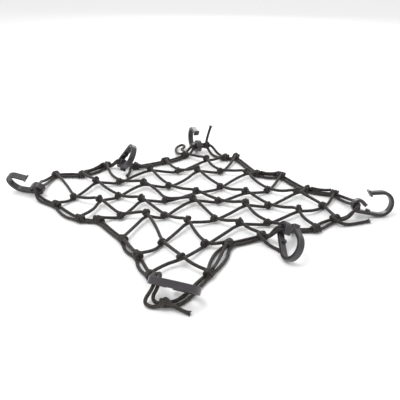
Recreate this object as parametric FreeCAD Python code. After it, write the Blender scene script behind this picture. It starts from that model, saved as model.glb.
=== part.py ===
"""Elastic cargo net: a square mesh of knotted bungee cord with a doubled border and six plastic hooks.

Millimetres, +Z up, the net laid loosely on the ground. +X runs along the net's long diagonal,
from the left hook to the right hook, and +Y from the front corner to the back corner.
The origin is on the ground under the middle of the whole part.
"""
import FreeCAD
import Part
import math
import os

V = FreeCAD.Vector

# ---- driving dimensions -------------------------------------------------------------------
CELL = 54.0            # side of one mesh cell, knot to knot, as tied
CELL_LAID = 54.0       # the cell that the laid-out knot positions below are written for
CORD_D = 5.0           # braided elastic cord, outside diameter
SHEATH_WALL = 0.6      # thickness of the braided sheath
CORE_GAP = 0.1         # between the rubber core and the sheath
KNOT_R = 6.8           # mesh knot, radius of the lump
BORDER_KNOT_R = 7.2    # border knot, radius across the cords
BORDER_KNOT_L = 17.0   # border knot, length along the border
KNOT_ROUND = 3.0       # rounding of a border knot's ends
END_KNOT_R = 8.2       # knot that ties off the border cords, with a cut end
BORE_CLEAR = 0.1       # round each cord where it passes through a knot
STRAND_GAP = 0.3       # between two cords that lie side by side or cross
KNOT_LIFT = 7.0        # how far the springy cord holds every second row of knots off the ground

HOOK_WIDTH = 10.0      # hook bar, across the plane of the hook
HOOK_BAR = 5.5         # hook bar, in the plane of the hook
HOOK_GROOVE_W = 1.8    # groove along both sides of the bar
HOOK_GROOVE_D = 1.2
HOOK_ROUND = 1.0       # rounding along the bar's edges
MOUTH_R = 15.75        # inside radius of the big bend
MOUTH_X = 37.0         # big bend's centre, along the hook from the centre of its eye
MOUTH_Y = 1.0          # and above it
EYE_R = 6.0            # inside radius of the eye
EYE_END_ANGLE = 42.0   # where the eye's free end leaves its circle, degrees
EYE_END_L = 8.5        # straight free end of the eye
CATCH_X = 15.5         # catch that the eye's free end faces, along the hook
CATCH_L = 4.5
CATCH_H = 3.2
TIP_L = 19.0           # straight bar from the big bend to the tip
FLARE_H = 12.0         # flared tip, in the plane of the hook
FLARE_T = 2.6
FLARE_ANGLE = 62.0     # the flare's slope to the bar, degrees

LAID = CELL / CELL_LAID
CORD_R = CORD_D / 2
CORE_R = CORD_R - SHEATH_WALL - CORE_GAP
PITCH = CORD_D + STRAND_GAP          # two cords side by side, centre to centre
MESH_RISE = 3.5                      # the crossing cords in a mesh knot lie this far up and down
BORDER_DROP = 2.3                    # border cords, below the middle of a border knot
BORDER_RISE = 4.3                    # a mesh cord's end, above the middle of a border knot
END_GAP = 3.2                        # between the ends of a side's cord and a corner's, in a knot
GROUND_GAP = 0.5                     # cords between knots, above the ground

# ---- where the knots lie ------------------------------------------------------------------
# Row 0 is at the back corner and row 12 at the front. Knots run from left to right in a row.
KNOT_ROWS = {
    0: [(-30, 190), (49, 178)],
    1: [(-68, 161), (12, 156), (71, 180)],
    2: [(-122, 136), (-41, 114), (37, 112), (105, 103)],
    3: [(-178, 139), (-93, 112), (-6, 108), (85, 96), (150, 94)],
    4: [(-217, 99), (-145, 67), (-56, 51), (35, 47), (117, 35), (186, 37)],
    5: [(-266, 98), (-185, 60), (-100, 52), (-7, 17), (77, 17), (164, 17), (230, 21)],
    6: [(-215, 8), (-140, 12), (-59, -3), (30, -6), (112, -22), (201, -24)],
    7: [(-238, -19), (-167, -12), (-98, -9), (-12, -9), (74, -26), (157, -47), (213, -66)],
    8: [(-189, -66), (-127, -57), (-57, -57), (22, -67), (104, -79), (177, -96)],
    9: [(-159, -69), (-85, -60), (-19, -82), (60, -88), (142, -96)],
    10: [(-113, -128), (-56, -136), (7, -140), (93, -117)],
    11: [(-87, -171), (-26, -185), (41, -139)],
    12: [(-66, -219), (12, -214)],
}
MIDDLE_X, MIDDLE_Y = 12.0, 10.0      # moves these places so that the whole part's middle is at the origin
CELLS = 7                            # cells along each side of the net
CORNER_ROW = 6                       # the row that ends in the left and right corners

# How far each cord bows sideways between its knots, positive to the left of its run.
BOWS_A = {
    1: [5, -3, 1.5, 5, 4, 2, -2],
    2: [-1.5, -1.5, -2, 1.5, -1.5, -2, -4],
    3: [-6, 2, 6, 2, 2, -3, -4],
    4: [-1.5, -1.5, -3, 1.5, -2, -5, 3],
    5: [-2, -2, -1.5, -5, 1.5, -2, -7],
    6: [1.5, -4, 2, -4, -5, 3, 1.5],
}
BOWS_B = {
    1: [-1.5, -3, -2, 2, -4, -2, -2],
    2: [-6, -1.5, 1.5, -3, -8, -1.5, -4],
    3: [4, -3, -1.5, -3, -4, 1.5, -3],
    4: [2, -5, 1.5, -1.5, -2, -4, -2],
    5: [-5, -2, -4, -3, -1.5, -1.5, -2],
    6: [8, -2, -1.5, -1.5, -2, -7, -5],
}


def laid(x, y, z):
    """A point of the laid-out net: its place on the ground follows the cell size."""
    return V((x + MIDDLE_X) * LAID, (y + MIDDLE_Y) * LAID, z)


def knot_places():
    """(a, b) to the knot's middle. a counts from the left-front side, b from the left-back side."""
    found = {}
    for row, places in KNOT_ROWS.items():
        first = max(CORNER_ROW - row, 0) + (row == CORNER_ROW)
        for n, (x, y) in enumerate(places):
            a = first + n
            b = a + row - CORNER_ROW
            on_border = a in (0, CELLS) or b in (0, CELLS)
            lift = KNOT_LIFT if row % 2 and not on_border else 0.0
            found[a, b] = laid(x, y, (BORDER_KNOT_R if on_border else KNOT_R) + lift)
    return found


KNOTS = knot_places()


# ---- cords --------------------------------------------------------------------------------
def bowed(start, end, bow, height):
    """The middle point of a stretch of cord between two knots, bowed sideways at a height."""
    along = V(end.x - start.x, end.y - start.y, 0).normalize()
    middle = (start + end) / 2
    return V(middle.x - along.y * bow, middle.y + along.x * bow, height)


def rounded_path(points):
    """Straight runs joined by tangent arcs, each as large as its two runs allow."""
    edges, at, radii = [], points[0], []
    for before, corner, after in zip(points, points[1:], points[2:]):
        one, two = before - corner, after - corner
        turn = math.pi - one.getAngle(two)
        tangent = 0.45 * min(one.Length, two.Length)
        radii.append(tangent / math.tan(turn / 2))
        start = corner + one.normalize() * tangent
        end = corner + two.normalize() * tangent
        bisector = (one + two).normalize()
        centre = corner + bisector * math.hypot(radii[-1], tangent)
        edges.append(Part.LineSegment(at, start).toShape())
        edges.append(Part.Arc(start, centre - bisector * radii[-1], end).toShape())
        at = end
    edges.append(Part.LineSegment(at, points[-1]).toShape())
    return Part.Wire(edges), min(radii)


def swept(path, radii):
    """A tube or rod along a path: the first radius is its outside, a second one its bore."""
    start = path.Edges[0].valueAt(path.Edges[0].FirstParameter)
    along = path.Edges[0].tangentAt(path.Edges[0].FirstParameter)
    rings = [Part.Wire(Part.Circle(start, along, r).toShape()) for r in radii]
    solids = [path.makePipe(Part.Face(ring)) for ring in rings]
    tube = solids[0] if len(solids) == 1 else solids[0].cut(solids[1])
    return tube.Solids[0] if tube.Solids else tube


class Cord:
    """One length of elastic cord: a braided sheath round a rubber core, along one route."""

    def __init__(self, name, points):
        self.name = name
        self.path, self.least = rounded_path(points)
        self.core = swept(self.path, [CORE_R])
        self.sheath = swept(self.path, [CORD_R, CORD_R - SHEATH_WALL])
        self.room = swept(self.path, [CORD_R + BORE_CLEAR])
        expected = math.pi * (CORD_R**2 - (CORD_R - SHEATH_WALL)**2) * self.path.Length
        share = self.sheath.Volume / expected
        print(f"{name}: length {self.path.Length:.0f}, tightest radius {self.least:.1f},"
              f" volume over section times length {share:.4f}")


def mesh_route(names, bows, rise):
    """A mesh cord through a line of knots, starting and ending in the border."""
    places = [KNOTS[k] for k in names]
    last = len(places) - 1
    points = []
    for n, place in enumerate(places):
        points.append(place + V(0, 0, BORDER_RISE if n in (0, last) else rise))
        if n < last:
            ends = (place.z + places[n + 1].z) / 2
            low = max(CORD_R + GROUND_GAP, ends - KNOT_R + CORD_R)
            points.append(bowed(place, places[n + 1], bows[n], low + MESH_RISE + rise / 2))
    return points


# ---- hooks: where each one lies -----------------------------------------------------------
# The middle of its eye, the way from there to the big bend, and the way across to the tip's side.
HOOKS = {
    "hook_left": ((-277, 24, 16), (-0.95, 0.26, 0.15), (0.02, -0.45, 0.89)),
    "hook_side_left": ((-149, 139, 14.5), (0.5, -0.58, 0.62), (-0.15, -0.73, -0.66)),
    "hook_back": ((-4, 214, 17), (-0.28, 0.95, 0.10), (0.1, -0.08, 0.99)),
    "hook_right": ((252, -48, 21), (0.99, 0.12, 0), (0, 0.2, 0.98)),
    "hook_side_right": ((122, -133, 28), (0.16, -0.96, -0.21), (0.5, 0, 0.86)),
    "hook_front": ((-54, -256, 25), (0.93, -0.35, 0), (0.05, 0.76, -0.65)),
}


class Frame:
    """A hook's own frame: x along the hook, y across its mouth, z along the cords through its eye."""

    def __init__(self, eye, along, across):
        self.eye = laid(*eye)
        self.x = V(*along).normalize()
        across = V(*across)
        self.y = (across - self.x * across.dot(self.x)).normalize()
        self.z = self.x.cross(self.y)

    def at(self, x, y, z):
        return self.eye + self.x * x + self.y * y + self.z * z

    def placement(self):
        m = FreeCAD.Matrix(self.x.x, self.y.x, self.z.x, self.eye.x,
                           self.x.y, self.y.y, self.z.y, self.eye.y,
                           self.x.z, self.y.z, self.z.z, self.eye.z)
        return FreeCAD.Placement(m)


FRAMES = {name: Frame(*place) for name, place in HOOKS.items()}
EYE_REACH = HOOK_WIDTH / 2 + CORD_R + 1.0    # a cord through an eye runs straight this far each way
SIDE = PITCH / 2                             # the two cords in a knot lie this far to either side
EYE_SIDE = 1.1 * SIDE                        # and in an eye


def through(hook, x, y):
    """The two points of a cord's straight run through an eye, x and y off its middle."""
    return [FRAMES[hook].at(x, y, -EYE_REACH), FRAMES[hook].at(x, y, EYE_REACH)]


def clear_of_eye(hook, x, y):
    """A point beside the eye's rim, where a cord that has come through it turns back to the net."""
    return FRAMES[hook].at(x, y, EYE_REACH + 0.5)


# ---- the border ---------------------------------------------------------------------------
# Each side runs clockwise seen from above, so that the outside of the net is on its left.
SIDES = {
    "left_back": [(a, 0) for a in range(1, CELLS)],
    "back_right": [(CELLS, b) for b in range(1, CELLS)],
    "right_front": [(a, CELLS) for a in range(CELLS - 1, 0, -1)],
    "left_front": [(0, b) for b in range(CELLS - 1, 0, -1)],
}
# How far the two border cords bow between knots, outwards positive. None: through a side hook.
OUTER_BOWS = {
    "left_back": [12, 10, None, 6, 3],
    "back_right": [2.7, 5, 9, 4, 2.7],
    "right_front": [3, 2.7, None, 4, 12],
    "left_front": [9, 9, 2.7, 2.7, 12],
}
INNER_BOWS = {
    "left_back": [-1.5, -6, None, -4, -6],
    "back_right": [-2.7, -2, -8, -5, -2.7],
    "right_front": [-12, -2.7, None, -5, -14],
    "left_front": [-2, -2.7, -2.7, -2.7, -2],
}
# Bays that hold a third length of cord, doubled back from a knot: its bow and height at the middle.
THIRD_BOWS = {
    "left_back": {1: (1, 5)},
    "back_right": {2: (-1, 5.5), 4: (0, 7.7)},
    "right_front": {4: (-1, 3.2)},
    "left_front": {1: (-1, 7.7)},
}
THIRD_START = 6.6      # a third length starts this far along from the middle of its knot
THIRD_SHIFT = 2.2      # and this far outwards


# Beside a corner or a side hook: where the border comes from, and where it heads for.
COMES_FROM = {(1, 0): (-276, 75), (4, 0): (-134, 143), (7, 1): (37, 190), (3, 7): (102, -121),
              (6, 7): (229, -65), (0, 6): (-56, -241)}
HEADS_FOR = {(3, 0): (-167, 139), (6, 0): (-21, 201), (7, 6): (241, 9), (4, 7): (139, -105),
             (1, 7): (0, -230), (0, 1): (-255, -6)}


def border_lines():
    """Each border knot's direction along the border, and how much the border's turn spreads its cords."""
    along, spread = {}, {}
    for names in SIDES.values():
        for n, name in enumerate(names):
            before = laid(*COMES_FROM[name], 0) if name in COMES_FROM else KNOTS[names[n - 1]]
            after = laid(*HEADS_FOR[name], 0) if name in HEADS_FOR else KNOTS[names[n + 1]]
            here = KNOTS[name]
            coming = V(here.x - before.x, here.y - before.y, 0).normalize()
            going = V(after.x - here.x, after.y - here.y, 0).normalize()
            along[name] = (coming + going).normalize()
            spread[name] = 1 / math.cos(coming.getAngle(going) / 2)
    return along, spread


ALONG, SPREAD = border_lines()


def in_knot(name, shift, forward=0.0):
    """Where a border cord runs in a border knot: shift is outwards, forward along the border."""
    along = ALONG[name]
    outwards = V(-along.y, along.x, 0) * SPREAD[name]
    return KNOTS[name] + outwards * shift + along * forward - V(0, 0, BORDER_DROP)


def side_hook_bay(side, shift):
    """The points of a border cord where it goes through a side hook's eye."""
    eye_shift = math.copysign(EYE_SIDE, shift)
    if side == "left_back":
        first, last = through("hook_side_left", 0, -eye_shift)
        return [laid(-167, 139 + shift, 7), first, last, laid(-134 + 0.3 * shift, 143 + 1.06 * shift, 9)]
    first, last = through("hook_side_right", eye_shift, 0)
    return [laid(139 + 0.87 * shift, -105 - shift / 2, 7), laid(138.5 + shift, -121 - 0.45 * shift, 17),
            first, last, clear_of_eye("hook_side_right", eye_shift - 2, -11),
            laid(102 - 0.75 * shift, -121 - 1.1 * shift, 7.5)]


def border_route(side, shift, bows):
    """A border cord along one side, through all its knots."""
    names = SIDES[side]
    points = [in_knot(names[0], shift, END_GAP / 2)]
    for n, bow in enumerate(bows):
        start, end = in_knot(names[n], 0), in_knot(names[n + 1], 0)
        if bow is None:
            points += side_hook_bay(side, shift)
        else:
            points.append(bowed(start, end, bow, CORD_R + GROUND_GAP))
        points.append(in_knot(names[n + 1], shift, -END_GAP / 2 if n == len(bows) - 1 else 0.0))
    return points


def third_route(side, bay, bow, height):
    """A third length of cord in one bay of the border, from the top of a knot to the next."""
    first, last = SIDES[side][bay], SIDES[side][bay + 1]
    start = on_top(first, THIRD_SHIFT, THIRD_START)
    end = on_top(last, THIRD_SHIFT, -THIRD_START)
    return [start, bowed(start, end, bow, height), end]


# The end knots, which tie off the border cords at the front and back corners.
END_KNOTS = {"end_knot_front": laid(-44, -277, END_KNOT_R), "end_knot_back": laid(13, 221, 16)}
FRONT, BACK = END_KNOTS["end_knot_front"], END_KNOTS["end_knot_back"]


def corner_routes():
    """Each corner: the outer and the inner cord, clockwise from the last knot of a side."""
    outer_left = through("hook_left", 0, EYE_SIDE)
    inner_left = through("hook_left", 0, -EYE_SIDE)
    outer_back = through("hook_back", 0, EYE_SIDE)
    inner_back = through("hook_back", 0, -EYE_SIDE)
    outer_right = through("hook_right", 0, EYE_SIDE)
    inner_right = through("hook_right", 0, -EYE_SIDE)
    outer_front = through("hook_front", -EYE_SIDE, 0)
    inner_front = through("hook_front", EYE_SIDE, 0)
    return {
        "corner_left": [
            [in_knot((0, 1), SIDE, END_GAP / 2), laid(-257, -9, 3.2), laid(-275, 3, 5), *outer_left,
             laid(-280, 53, 15), laid(-281, 77, 4), in_knot((1, 0), SIDE, -END_GAP / 2)],
            [in_knot((0, 1), -SIDE, END_GAP / 2), laid(-253, -3, 3.2), laid(-268, 7, 5), *inner_left,
             laid(-273, 50, 9), laid(-272, 74, 4), in_knot((1, 0), -SIDE, -END_GAP / 2)],
        ],
        "corner_back": [
            [in_knot((6, 0), SIDE, END_GAP / 2), laid(-25, 204, 12.5), *outer_back,
             BACK + V(0, 1, SIDE), laid(24, 221, 14), laid(34, 207, 5), laid(43, 195, 3.2),
             in_knot((7, 1), SIDE, -END_GAP / 2)],
            [in_knot((6, 0), -SIDE, END_GAP / 2), laid(-18, 200, 6.5), *inner_back,
             BACK + V(1, -1, -SIDE), laid(22, 202, 4), laid(34, 188, 3.2),
             in_knot((7, 1), -SIDE, -END_GAP / 2)],
        ],
        "corner_right": [
            [in_knot((7, 6), SIDE, END_GAP / 2), laid(245, 14, 4), laid(254, -8, 9), laid(254, -24, 18),
             *outer_right, laid(243, -65, 24), laid(231, -70, 7),
             in_knot((6, 7), SIDE, -END_GAP / 2)],
            [in_knot((7, 6), -SIDE, END_GAP / 2), laid(237, 4, 4), laid(245, -14, 7), laid(250, -27, 13),
             *inner_right, laid(242, -60, 18), laid(230, -62, 4.2),
             in_knot((6, 7), -SIDE, -END_GAP / 2)],
        ],
        "corner_front": [
            [in_knot((1, 7), SIDE, END_GAP / 2), laid(4, -231, 3.2), laid(-5, -249, 3.2),
             laid(-16, -266, 3.2), laid(-29, -278, 3.2), FRONT + V(0, -SIDE, -2),
             laid(-61, -280, 3.2), laid(-71, -271.5, 5),
             *outer_front, laid(-58, -241.5, 27.5), in_knot((0, 6), SIDE, -END_GAP / 2)],
            [in_knot((1, 7), -SIDE, END_GAP / 2), laid(-4, -229, 3.2), laid(-13, -246, 3.2),
             laid(-22, -259, 3.2), laid(-32, -269, 3.2), FRONT + V(0, SIDE, -2),
             laid(-56, -272, 3.2), laid(-60, -264, 7.5),
             *inner_front, laid(-52.6, -239, 27), in_knot((0, 6), -SIDE, -END_GAP / 2)],
        ],
    }


def on_top(name, shift, forward):
    """A point in a border knot above its border cords, where a loose end or a bight starts."""
    return in_knot(name, shift, forward) + V(0, 0, BORDER_DROP + BORDER_RISE)


def loose_routes():
    """The cut ends that stick out of knots, and the slack bight beside the back corner."""
    return {
        "cut_end_front": [FRONT + V(2, -1, 3.8), laid(-29, -286, 6), laid(-15, -290, 3.2)],
        "cut_end_back": [BACK + V(0, 1, 6), laid(14, 225, 30), laid(21, 229, 51)],
        "cut_end_right": [on_top((6, 7), THIRD_SHIFT, THIRD_START), laid(213, -78, 9.5), laid(227, -79, 3.2),
                          laid(248, -74, 3.2), laid(264, -68, 3.6)],
        "cut_end_side_right": [on_top((3, 7), THIRD_SHIFT, THIRD_START), laid(91, -129, 9.5),
                               laid(102, -140, 3.2), laid(113, -150, 3.2)],
        "cut_end_side_left": [on_top((4, 0), -THIRD_SHIFT, -THIRD_START) + V(0, 0, 1), laid(-131, 126, 9),
                              laid(-131, 114, 3.2), laid(-134, 101, 3.6)],
        "slack_bight": [on_top((6, 0), 0.5, -THIRD_START), laid(-42, 193, 8), laid(-49, 212, 4),
                        laid(-50, 232, 5), laid(-38, 246, 7), laid(-30, 233, 8), laid(-38, 214, 9),
                        laid(-34, 202, 12.5), on_top((6, 0), 3.0, 1.0) + V(0, 0, 0.6)],
    }


# ---- hooks: their shape -------------------------------------------------------------------
def bar_section(at, outwards, depth):
    """The bar's section at a point: a rounded oblong with a groove in each side."""
    t, w, r = HOOK_BAR / 2, HOOK_WIDTH / 2, HOOK_ROUND
    g, d = HOOK_GROOVE_W / 2, HOOK_GROOVE_D
    quarter = [(t - r, w), (g, w), (g, w - d)]
    corner = math.sqrt(0.5) * r

    def point(x, y):
        return at + outwards * x + depth * y

    def run(points):
        return [Part.LineSegment(point(*p), point(*q)).toShape() for p, q in zip(points, points[1:])]

    def bend(sx, sy):
        middle = (t - r + corner, w - r + corner)
        ends = [point(sx * x, sy * y) for x, y in ((t, w - r), middle, (t - r, w))]
        if sx * sy < 0:
            ends.reverse()
        return [Part.Arc(*ends).toShape()]

    side = quarter + [(-x, y) for x, y in reversed(quarter)]
    under = [(-x, -y) for x, y in side]
    edges = bend(1, 1) + run(side) + bend(-1, 1) + run([(-t, w - r), (-t, r - w)])
    edges += bend(-1, -1) + run(under) + bend(1, -1) + run([(t, r - w), (t, w - r)])
    return Part.Face(Part.Wire(edges))


def moulded_hook():
    """A hook in its own frame: the eye's free end, the eye, the shank, the big bend and the tip."""
    depth = V(0, 0, 1)
    eye, bend = V(0, 0, 0), V(MOUTH_X, MOUTH_Y, 0)
    eye_r, bend_r = EYE_R + HOOK_BAR / 2, MOUTH_R + HOOK_BAR / 2
    shank_angle = math.atan2(MOUTH_Y, MOUTH_X) - math.acos((eye_r - bend_r) / bend.Length)
    shank_degrees = math.degrees(shank_angle)

    def out(degrees):
        return V(math.cos(math.radians(degrees)), math.sin(math.radians(degrees)), 0)

    def turned(degrees):
        return V(-math.sin(math.radians(degrees)), math.cos(math.radians(degrees)), 0)

    def straight(start, degrees, length):
        return bar_section(start, out(degrees), depth).extrude(turned(degrees) * length)

    def arc(centre, radius, first, sweep):
        return bar_section(centre + out(first) * radius, out(first), depth).revolve(centre, depth, sweep)

    eye_sweep = 360 + shank_degrees - EYE_END_ANGLE
    shank_l = math.sqrt(bend.Length**2 - (bend_r - eye_r)**2)
    free_end = straight(out(EYE_END_ANGLE) * eye_r - turned(EYE_END_ANGLE) * EYE_END_L,
                        EYE_END_ANGLE, EYE_END_L)
    eye_ring = arc(eye, eye_r, EYE_END_ANGLE, eye_sweep)
    shank = straight(out(shank_degrees) * eye_r, shank_degrees, shank_l)
    big_bend = arc(bend, bend_r, shank_degrees, 90 - shank_degrees)
    tip_bar = straight(bend + out(90) * bend_r, 90, TIP_L)

    catch = Part.makeBox(CATCH_L, HOOK_BAR / 2 + CATCH_H, HOOK_WIDTH - 2 * HOOK_ROUND)
    catch.translate(V(-CATCH_L / 2, 0, HOOK_ROUND - HOOK_WIDTH / 2))
    catch.rotate(V(0, 0, 0), depth, shank_degrees + 90)
    foot = out(shank_degrees) * eye_r
    catch.translate(foot + turned(shank_degrees) * ((CATCH_X - foot.x) / turned(shank_degrees).x))
    flare = Part.makeBox(FLARE_T, FLARE_H, HOOK_WIDTH)
    flare = flare.makeFillet(HOOK_ROUND, [e for e in flare.Edges if abs(e.tangentAt(0).x) > 0.9])
    flare.translate(V(-FLARE_T / 2, -FLARE_H / 2, -HOOK_WIDTH / 2))
    flare.rotate(V(0, 0, 0), depth, 90 - FLARE_ANGLE)
    flare.translate(bend + out(90) * bend_r - V(TIP_L, 0, 0))
    whole = free_end.fuse([eye_ring, shank, big_bend, tip_bar, catch, flare]).removeSplitter()
    return whole.Solids[0]


# ---- knots --------------------------------------------------------------------------------
def bored(lump, middle, reach, cords):
    """A knot's lump with room for each cord that runs through it."""
    for cord in cords:
        if cord.path.distToShape(Part.Vertex(middle))[0] < reach + CORD_R:
            lump = lump.cut(cord.room)
    return max(lump.Solids, key=lambda s: s.Volume)


KNOT_POLE = V(3, 1, 2)          # the poles of a round knot, between the cords that leave it


def round_knot(middle, radius, cords):
    lump = Part.makeSphere(radius, middle, KNOT_POLE)
    return bored(lump, middle, radius, cords)


def border_knot(name, cords):
    along = ALONG[name]
    start = KNOTS[name] - along * (BORDER_KNOT_L / 2)
    lump = Part.makeCylinder(BORDER_KNOT_R, BORDER_KNOT_L, start, along)
    rims = [e for e in lump.Edges if len(e.Vertexes) == 1]
    return bored(lump.makeFillet(KNOT_ROUND, rims), KNOTS[name], BORDER_KNOT_L / 2, cords)


# ---- the whole net ------------------------------------------------------------------------
def make_cords():
    """Every cord, by the node that holds it."""
    inner = range(1, CELLS)
    cords = {}
    for a in inner:
        route = mesh_route([(a, b) for b in range(CELLS + 1)], BOWS_A[a], MESH_RISE)
        cords[f"mesh_cord_a{a}"] = [Cord(f"mesh_cord_a{a}", route)]
    for b in inner:
        route = mesh_route([(a, b) for a in range(CELLS + 1)], BOWS_B[b], -MESH_RISE)
        cords[f"mesh_cord_b{b}"] = [Cord(f"mesh_cord_b{b}", route)]
    for side in SIDES:
        for word, shift, bows in (("outer", SIDE, OUTER_BOWS), ("inner", -SIDE, INNER_BOWS)):
            name = f"border_{word}_{side}"
            cords[name] = [Cord(name, border_route(side, shift, bows[side]))]
        name = f"border_third_{side}"
        cords[name] = [Cord(f"{name}_{bay}", third_route(side, bay, *bow))
                       for bay, bow in THIRD_BOWS[side].items()]
    for name, routes in corner_routes().items():
        cords[name] = [Cord(f"{name}_{n}", route) for n, route in enumerate(routes)]
    for name, route in loose_routes().items():
        cords[name] = [Cord(name, route)]
    return cords


CORE_NODES = {
    "rubber_core_mesh_a": "mesh_cord_a",
    "rubber_core_mesh_b": "mesh_cord_b",
    "rubber_core_border": "border_",
    "rubber_core_corners": "corner_",
    "rubber_core_ends": ("cut_end_", "slack_bight"),
}


def make_parts():
    cords = make_cords()
    parts = {name: [cord.sheath for cord in held] for name, held in cords.items()}
    for name, start in CORE_NODES.items():
        parts[name] = [cord.core for node, held in cords.items() if node.startswith(start) for cord in held]
    every = [cord for held in cords.values() for cord in held]
    for a in range(1, CELLS):
        parts[f"mesh_knots_a{a}"] = [round_knot(KNOTS[a, b], KNOT_R, every) for b in range(1, CELLS)]
    for side, names in SIDES.items():
        parts[f"border_knots_{side}"] = [border_knot(name, every) for name in names]
    for name, middle in END_KNOTS.items():
        parts[name] = [round_knot(middle, END_KNOT_R, every)]
    hook = moulded_hook()
    for name, frame in FRAMES.items():
        placed = hook.copy()
        placed.Placement = frame.placement()
        parts[name] = [placed]
    return parts


def main():
    os.makedirs("parts", exist_ok=True)
    whole = FreeCAD.BoundBox()
    for name, solids in make_parts().items():
        shape = solids[0] if len(solids) == 1 else Part.makeCompound(solids)
        if not all(solid.isValid() for solid in solids):
            print("not valid:", name)
        shape.exportStep(f"parts/{name}.step")
        whole.add(shape.BoundBox)
    print("whole:", whole)
    for name, frame in FRAMES.items():
        print(name, "eye", [round(c, 2) for c in frame.eye], "axis", [round(c, 5) for c in frame.z],
              "mouth", [round(c, 2) for c in frame.at(MOUTH_X, MOUTH_Y, 0)])


main()
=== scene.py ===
"""Elastic cargo net, the looks: braided cords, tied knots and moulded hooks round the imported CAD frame.

Metres, +Z up, the frame's own axes: +X from the left hook to the right hook, +Y to the back corner.
"""
import bpy
import math
import random
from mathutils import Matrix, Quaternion, Vector


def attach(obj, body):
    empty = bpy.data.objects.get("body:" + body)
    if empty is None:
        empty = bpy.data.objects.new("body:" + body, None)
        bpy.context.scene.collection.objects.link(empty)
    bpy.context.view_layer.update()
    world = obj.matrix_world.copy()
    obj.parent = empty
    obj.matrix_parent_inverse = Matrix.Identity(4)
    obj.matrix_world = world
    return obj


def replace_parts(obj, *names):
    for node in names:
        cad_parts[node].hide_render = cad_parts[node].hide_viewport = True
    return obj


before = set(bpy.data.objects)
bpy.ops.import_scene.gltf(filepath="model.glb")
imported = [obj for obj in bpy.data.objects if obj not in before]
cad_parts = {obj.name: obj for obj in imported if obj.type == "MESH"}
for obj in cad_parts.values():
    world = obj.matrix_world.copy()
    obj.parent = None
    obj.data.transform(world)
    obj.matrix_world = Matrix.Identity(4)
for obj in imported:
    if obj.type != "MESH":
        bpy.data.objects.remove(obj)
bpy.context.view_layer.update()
rng = random.Random(7)

CORD_R = 0.0025          # the braided cord's radius
CORE_R = 0.0018          # the rubber core inside it
AROUND = 16              # vertices round a tube
BRAID_LEAD = 0.026       # one turn of a yarn round the cord
BRAID_YARNS = 8          # yarns each way round
TRACER_EVERY = 4         # one yarn in this many is lighter
TUFTS = 22               # splayed yarns round a cut end
TUFT_LENGTH = 0.0042
LUMP_STEPS = 72          # points round a trefoil
LUMP_FLAT = 0.75 * 0.62  # its height over its width
WRAP_STEPS = 68          # points along a wrapping
MESH_LUMP = 0.0049       # a mesh knot's trefoil, half its width at the cord's centre
MESH_WRAP = 0.0046       # radius of the turns in a mesh knot
BORDER_LUMP = 0.0042     # the same for a border knot
BORDER_WRAP = 0.0048
BORDER_WRAP_R = 0.0023   # the cord that is wound round the border
KNOT_CORD_R = 0.0022     # the cord of the other knots, pulled tight
BORDER_KNOT_Z = 0.0072   # the middle of a border knot above the ground
BORDER_LUMP_OUT = 0.0026  # its trefoil sits this far out from the middle
END_LUMPS = (0.0058, 0.0052)
END_CORD_R = 0.0024
FLOOR = 20               # half the floor's side
CAMERA_AT = (0.012, -0.804, 0.433)
CAMERA_DOWN = 27.7       # degrees below level
CAMERA_LENS = 49.14

# ---- the camera ----------------------------------------------------------------------------
camera = bpy.data.objects.new("camera", bpy.data.cameras.new("camera"))
camera.data.lens = CAMERA_LENS
camera.data.sensor_width = 36
camera.location = CAMERA_AT
camera.rotation_euler = (math.radians(90 - CAMERA_DOWN), 0, 0)
bpy.context.scene.collection.objects.link(camera)
bpy.context.scene.camera = camera

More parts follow.
